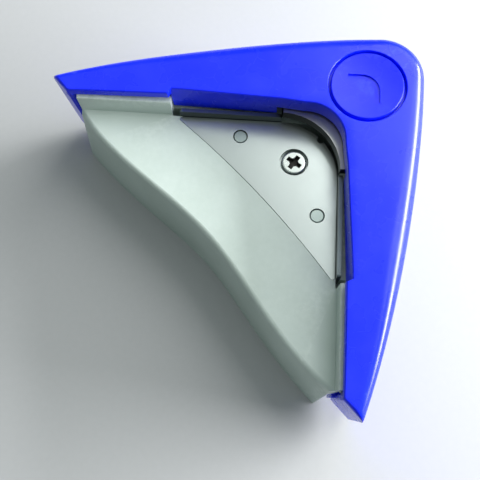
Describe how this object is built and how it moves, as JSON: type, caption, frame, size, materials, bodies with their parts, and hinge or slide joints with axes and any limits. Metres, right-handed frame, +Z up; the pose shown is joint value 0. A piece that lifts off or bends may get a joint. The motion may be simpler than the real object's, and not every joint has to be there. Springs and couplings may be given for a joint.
{
  "type": "corner rounder",
  "caption": "Palm-press corner rounder: blue L-shaped lever with thumb disc, pale base with card table, steel die plate and L-shaped punch.",
  "frame": {"origin": "on the table, under the point where the two card stops' lines meet", "axes": "+Z up; the left arm runs along -X and the right arm along -Y, symmetric about the plane X = Y"},
  "size_m": [0.0769, 0.0769, 0.0278],
  "materials": {
    "pale_plastic": "pale grey moulded plastic, fine satin texture",
    "blue_plastic": "strong blue moulded plastic, satin gloss",
    "disc_plastic": "strong blue moulded plastic, finer gloss than the lever",
    "grey_plastic": "dark grey low-friction plastic",
    "die_steel": "ground steel, satin",
    "punch_steel": "ground hardened steel",
    "rail_steel": "rolled steel strip",
    "pin_steel": "turned steel",
    "bright_screw": "nickel-plated steel",
    "zinc_screw": "zinc-plated steel",
    "spring_steel": "drawn spring wire"
  },
  "bodies": {
    "base": {"base_body": "pale_plastic", "base_cover": "pale_plastic", "cover_screws": "zinc_screw", "die_plate": "die_steel", "die_screw": "bright_screw", "locating_pin_left": "pin_steel", "locating_pin_right": "pin_steel", "stop_rail_left": "rail_steel", "stop_rail_right": "rail_steel", "guide_post_left": "pin_steel", "guide_post_right": "pin_steel", "return_spring_left": "spring_steel", "return_spring_right": "spring_steel"},
    "lever": {"lever_shell": "blue_plastic", "thumb_disc": "disc_plastic", "pusher_stud": "pin_steel", "hinge_pin_left": "pin_steel", "hinge_pin_right": "pin_steel"},
    "punch": {"punch_blade": "punch_steel", "punch_carrier": "grey_plastic", "blade_screws": "zinc_screw"}
  },
  "joints": [
    {"name": "lever_press", "type": "hinge", "parent": "base", "child": "lever", "pos_m": [-0.0263, -0.0263, 0.0145], "axis": [-0.7071, 0.7071, 0], "range_deg": [0, 3.5], "stiffness_Nm_per_rad": 2, "springref_deg": -2.86},
    {"name": "punch_slide", "type": "slide", "parent": "base", "child": "punch", "axis": [0, 0, -1], "range_m": [0, 0.003], "deforming": ["return_spring_left", "return_spring_right"]}
  ],
  "couplings": [
    {"joint": "punch_slide", "follows": "lever_press", "m_per_rad": 0.0441}
  ]
}
